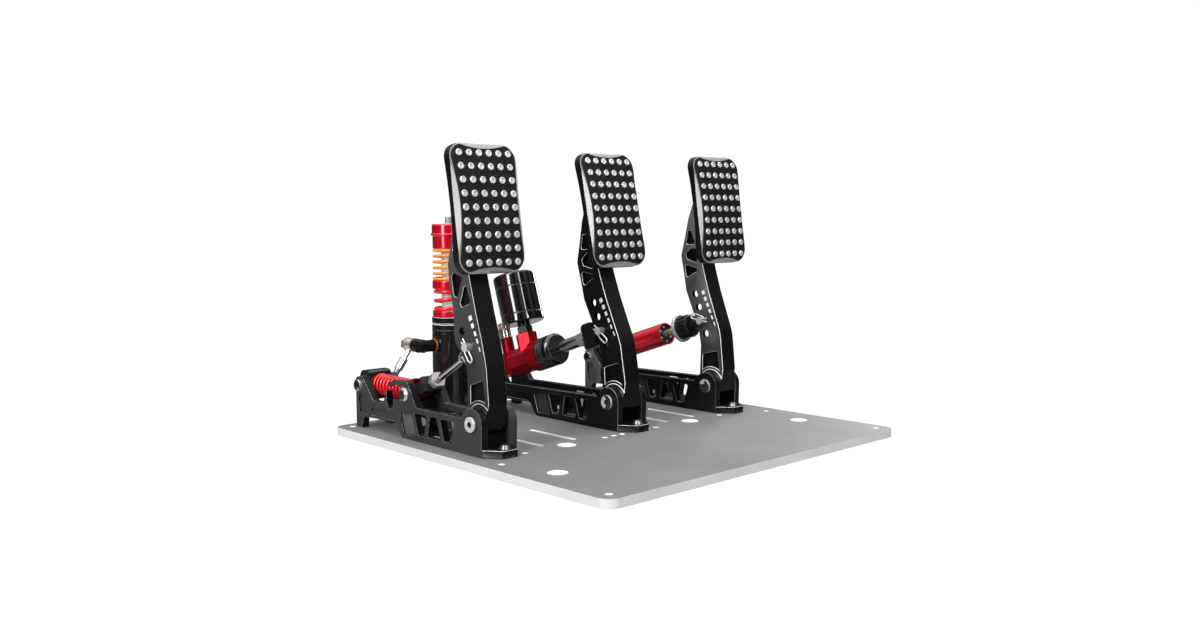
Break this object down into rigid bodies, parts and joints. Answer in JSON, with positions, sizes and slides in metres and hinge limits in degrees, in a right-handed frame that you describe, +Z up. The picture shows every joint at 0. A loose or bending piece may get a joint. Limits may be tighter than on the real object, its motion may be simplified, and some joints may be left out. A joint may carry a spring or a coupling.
{
  "type": "racing simulator pedal set",
  "caption": "Clutch, hydraulic brake and throttle pedals for a driving simulator, on one base plate, with hinged arms, spring, damper and brake cylinders.",
  "frame": {"origin": "centre of the base plate's underside", "axes": "+X to the driver's right, +Y away from the driver, +Z up"},
  "size_m": [0.4, 0.4084, 0.2814],
  "materials": {
    "plate_steel": "brushed, satin",
    "black_anodised": "satin black anodised with bright machined edges",
    "grey_anodised": "satin dark grey anodised",
    "grip_black": "fine textured black coat",
    "bright_alloy": "bright machined",
    "zinc_steel": "zinc plated",
    "black_oxide": "black oxide, satin",
    "red_anodised": "satin red anodised",
    "dark_red_anodised": "satin dark red anodised",
    "spring_red": "gloss red powder coat",
    "spring_orange": "gloss orange powder coat",
    "reservoir_black": "gloss black",
    "knob_black": "satin black",
    "chrome_plated": "polished",
    "copper_washer": "satin orange copper",
    "post_white": "satin off-white",
    "hose_cover": "braided cover in grey"
  },
  "bodies": {
    "base": {"base_plate": "plate_steel", "clutch_left_rail": "grey_anodised", "clutch_right_rail": "grey_anodised", "brake_left_rail": "black_anodised", "brake_right_rail": "black_anodised", "throttle_left_rail": "black_anodised", "throttle_right_rail": "black_anodised", "module_feet": "black_anodised", "foot_screws": "zinc_steel", "pivot_bolts": "bright_alloy", "anchor_screws": "zinc_steel", "clutch_spring": "spring_red", "spring_cup": "black_anodised", "master_cylinder": "red_anodised", "master_end_cap": "black_anodised", "reservoir": "reservoir_black", "reservoir_neck": "black_anodised", "master_union": "chrome_plated", "slave_cylinder": "black_anodised", "slave_collar": "black_anodised", "centre_post": "post_white", "top_cap": "red_anodised", "soft_spring": "spring_orange", "slave_elbow": "black_anodised", "slave_union": "chrome_plated", "brake_hose": "hose_cover", "sealing_washers": "copper_washer", "damper_tube": "red_anodised", "damper_ends": "black_anodised"},
    "clutch_pedal": {"clutch_arm": "black_anodised", "clutch_pad_bracket": "black_anodised", "clutch_pad": "black_anodised", "clutch_grip": "grip_black", "clutch_studs": "bright_alloy", "clutch_pin": "zinc_steel"},
    "clutch_link": {"clutch_pushrod": "bright_alloy", "clutch_fork": "black_oxide", "clutch_nut": "zinc_steel"},
    "slot_slider": {"slot_bolt": "zinc_steel", "spring_seat": "dark_red_anodised"},
    "brake_pedal": {"brake_arm": "black_anodised", "brake_pad_bracket": "black_anodised", "brake_pad": "black_anodised", "brake_grip": "grip_black", "brake_studs": "bright_alloy", "brake_pin": "zinc_steel"},
    "brake_plunger": {"brake_pushrod": "zinc_steel", "brake_rod_end": "black_oxide"},
    "throttle_pedal": {"throttle_arm": "black_anodised", "throttle_pad_bracket": "black_anodised", "throttle_pad": "black_anodised", "throttle_grip": "grip_black", "throttle_studs": "bright_alloy", "throttle_pin": "zinc_steel"},
    "damper_plunger": {"damper_rod": "zinc_steel", "adjuster_knob": "knob_black", "throttle_rod_end": "black_oxide"},
    "slave_ring": {"middle_ring": "red_anodised", "firm_spring": "spring_red"},
    "slave_plunger": {"slave_piston": "red_anodised"}
  },
  "joints": [
    {"name": "clutch_press", "type": "hinge", "parent": "base", "child": "clutch_pedal", "pos_m": [-0.162, -0.007, 0.036], "axis": [-1, 0, 0], "range_deg": [0, 16], "stiffness_Nm_per_rad": 14, "springref_deg": -5.73},
    {"name": "slot_slide", "type": "slide", "parent": "base", "child": "slot_slider", "axis": [0, 1, 0], "range_m": [0, 0.02155], "deforming": ["clutch_spring"]},
    {"name": "clutch_link_swing", "type": "hinge", "parent": "clutch_pedal", "child": "clutch_link", "pos_m": [-0.162, 0.007, 0.1025], "axis": [-1, 0, 0], "range_deg": [-20.2, 0]},
    {"name": "brake_press", "type": "hinge", "parent": "base", "child": "brake_pedal", "pos_m": [0.005, -0.007, 0.036], "axis": [-1, 0, 0], "range_deg": [0, 8], "stiffness_Nm_per_rad": 160, "springref_deg": -2.86},
    {"name": "brake_rod_slide", "type": "slide", "parent": "base", "child": "brake_plunger", "axis": [0, 0.9503, -0.3114], "range_m": [0, 0.01019]},
    {"name": "slave_ring_slide", "type": "slide", "parent": "base", "child": "slave_ring", "axis": [0, 0, 1], "range_m": [0, 0.0053], "deforming": ["soft_spring"]},
    {"name": "slave_piston_slide", "type": "slide", "parent": "slave_ring", "child": "slave_plunger", "axis": [0, 0, 1], "range_m": [0, 0.0019], "deforming": ["firm_spring"]},
    {"name": "throttle_press", "type": "hinge", "parent": "base", "child": "throttle_pedal", "pos_m": [0.152, -0.007, 0.036], "axis": [-1, 0, 0], "range_deg": [0, 16], "stiffness_Nm_per_rad": 6, "springref_deg": -8.59},
    {"name": "damper_rod_slide", "type": "slide", "parent": "base", "child": "damper_plunger", "axis": [0, 0.9511, -0.309], "range_m": [0, 0.02004]}
  ],
  "couplings": [
    {"joint": "slot_slide", "follows": "clutch_press", "m_per_rad": 0.0761},
    {"joint": "clutch_link_swing", "follows": "clutch_press", "ratio": -1.238},
    {"joint": "brake_rod_slide", "follows": "brake_press", "m_per_rad": 0.070818},
    {"joint": "slave_ring_slide", "follows": "brake_press", "m_per_rad": 0.037242},
    {"joint": "slave_piston_slide", "follows": "brake_press", "m_per_rad": 0.012892},
    {"joint": "damper_rod_slide", "follows": "throttle_press", "m_per_rad": 0.070697}
  ]
}
